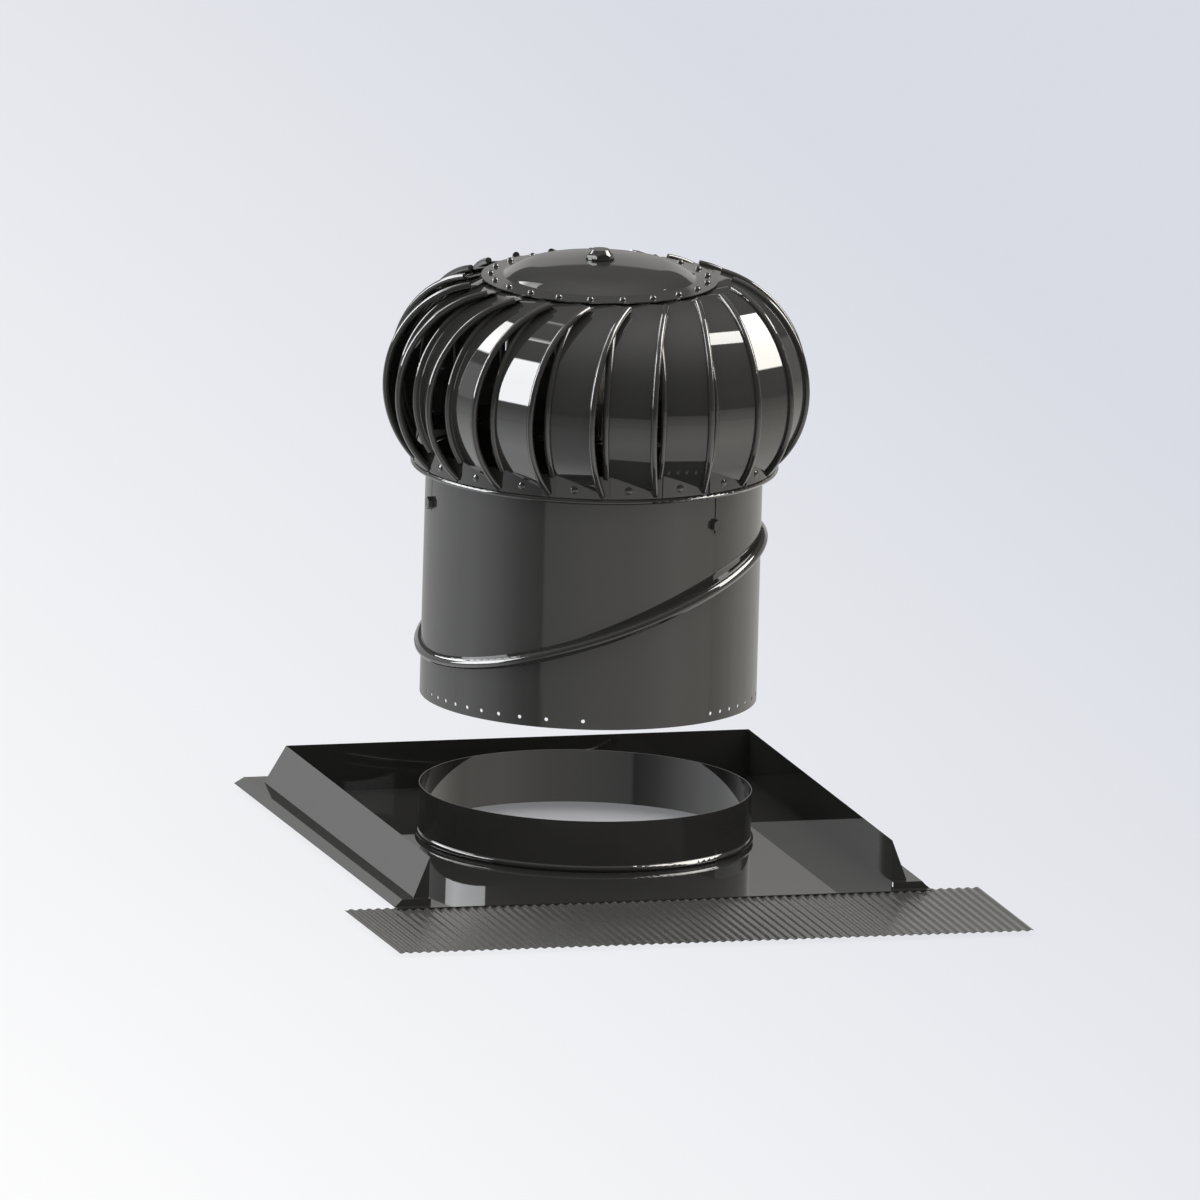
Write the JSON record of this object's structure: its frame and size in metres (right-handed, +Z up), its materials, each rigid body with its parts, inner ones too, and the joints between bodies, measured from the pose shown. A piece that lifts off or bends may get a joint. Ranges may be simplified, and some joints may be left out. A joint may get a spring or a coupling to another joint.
{
  "type": "roof turbine ventilator",
  "caption": "Roof turbine ventilator: curved-vane rotor on an oblique swivel neck, lifted off the round collar of its tray-shaped flashing with a corrugated apron.",
  "frame": {"origin": "on the collar's axis, in the top face of the tray's plate", "axes": "+Z up along the throat, +Y towards the high side of the roof (the tray's back upstand), +X to the right seen from the corrugated apron"},
  "size_m": [0.5934, 0.6978, 0.5438],
  "materials": {
    "painted_sheet": "glossy dark grey paint",
    "corrugated_flashing": "satin dark grey coated",
    "black_steel": "satin black paint",
    "bearing_steel": "ground and oiled",
    "dark_fasteners": "glossy dark paint"
  },
  "bodies": {
    "flashing": {"flashing_tray": "painted_sheet", "flashing_apron": "corrugated_flashing", "flashing_collar": "painted_sheet"},
    "neck_base": {"lower_neck": "painted_sheet"},
    "neck_head": {"upper_neck": "painted_sheet", "neck_bracket": "black_steel", "bracket_bolts": "dark_fasteners", "bracket_nuts": "dark_fasteners", "spindle": "bearing_steel", "spindle_nut": "dark_fasteners", "lower_inner_race": "bearing_steel", "upper_inner_race": "bearing_steel"},
    "rotor": {"vane_01": "painted_sheet", "vane_02": "painted_sheet", "vane_03": "painted_sheet", "vane_04": "painted_sheet", "vane_05": "painted_sheet", "vane_06": "painted_sheet", "vane_07": "painted_sheet", "vane_08": "painted_sheet", "vane_09": "painted_sheet", "vane_10": "painted_sheet", "vane_11": "painted_sheet", "vane_12": "painted_sheet", "vane_13": "painted_sheet", "vane_14": "painted_sheet", "vane_15": "painted_sheet", "vane_16": "painted_sheet", "vane_17": "painted_sheet", "vane_18": "painted_sheet", "vane_19": "painted_sheet", "vane_20": "painted_sheet", "vane_21": "painted_sheet", "lower_outer_race": "bearing_steel", "upper_outer_race": "bearing_steel", "rotor_band": "painted_sheet", "rotor_spider": "black_steel", "lower_bearing_housing": "black_steel", "upper_bearing_housing": "black_steel", "top_plate": "painted_sheet", "dome_cap": "painted_sheet", "cap_washer": "dark_fasteners", "cap_nut": "dark_fasteners", "dome_spacer": "black_steel", "dome_rivets": "dark_fasteners", "band_rivets": "dark_fasteners"}
  },
  "joints": [
    {"name": "unit_lift", "type": "slide", "parent": "flashing", "child": "neck_base", "axis": [0, 0, 1], "range_m": [-0.1245, 0]},
    {"name": "pitch_swivel", "type": "hinge", "parent": "neck_base", "child": "neck_head", "pos_m": [0, 0, 0.229], "axis": [-0.342, 0, 0.9397], "range_deg": [-180, 180]},
    {"name": "rotor_spin", "type": "hinge", "parent": "neck_head", "child": "rotor", "pos_m": [0, 0, 0.43], "axis": [0, 0, 1], "continuous": true}
  ]
}
